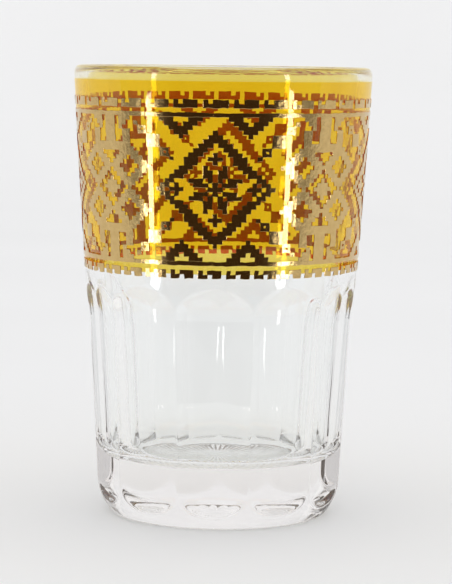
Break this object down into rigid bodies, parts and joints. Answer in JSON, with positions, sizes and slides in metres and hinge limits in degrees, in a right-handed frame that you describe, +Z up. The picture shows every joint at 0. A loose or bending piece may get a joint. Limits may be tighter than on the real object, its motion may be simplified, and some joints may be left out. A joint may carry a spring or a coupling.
{
  "type": "tea glass",
  "caption": "Small moroccan tea glass with a fluted foot, an amber stained cone and a raised gold print of stepped diamonds.",
  "frame": {"origin": "centre of the standing ring, on the plane that the glass rests on", "axes": "+Z up along the axis of the glass, -Y towards the front, where one gold diamond frame is centred"},
  "size_m": [0.0582, 0.0581, 0.0874],
  "materials": {
    "clear_glass": "clear, polished",
    "amber_stain": "clear amber, polished",
    "gold": "satin gold with a fine grain"
  },
  "bodies": {
    "root": {"glass_body": "clear_glass", "amber_stain": "amber_stain", "gold_upper_border": "gold", "gold_net": "gold", "gold_diamond_frames": "gold", "gold_stars": "gold", "gold_crosses": "gold", "gold_core_diamonds": "gold", "gold_square_chains": "gold", "gold_lower_border": "gold"}
  },
  "joints": []
}
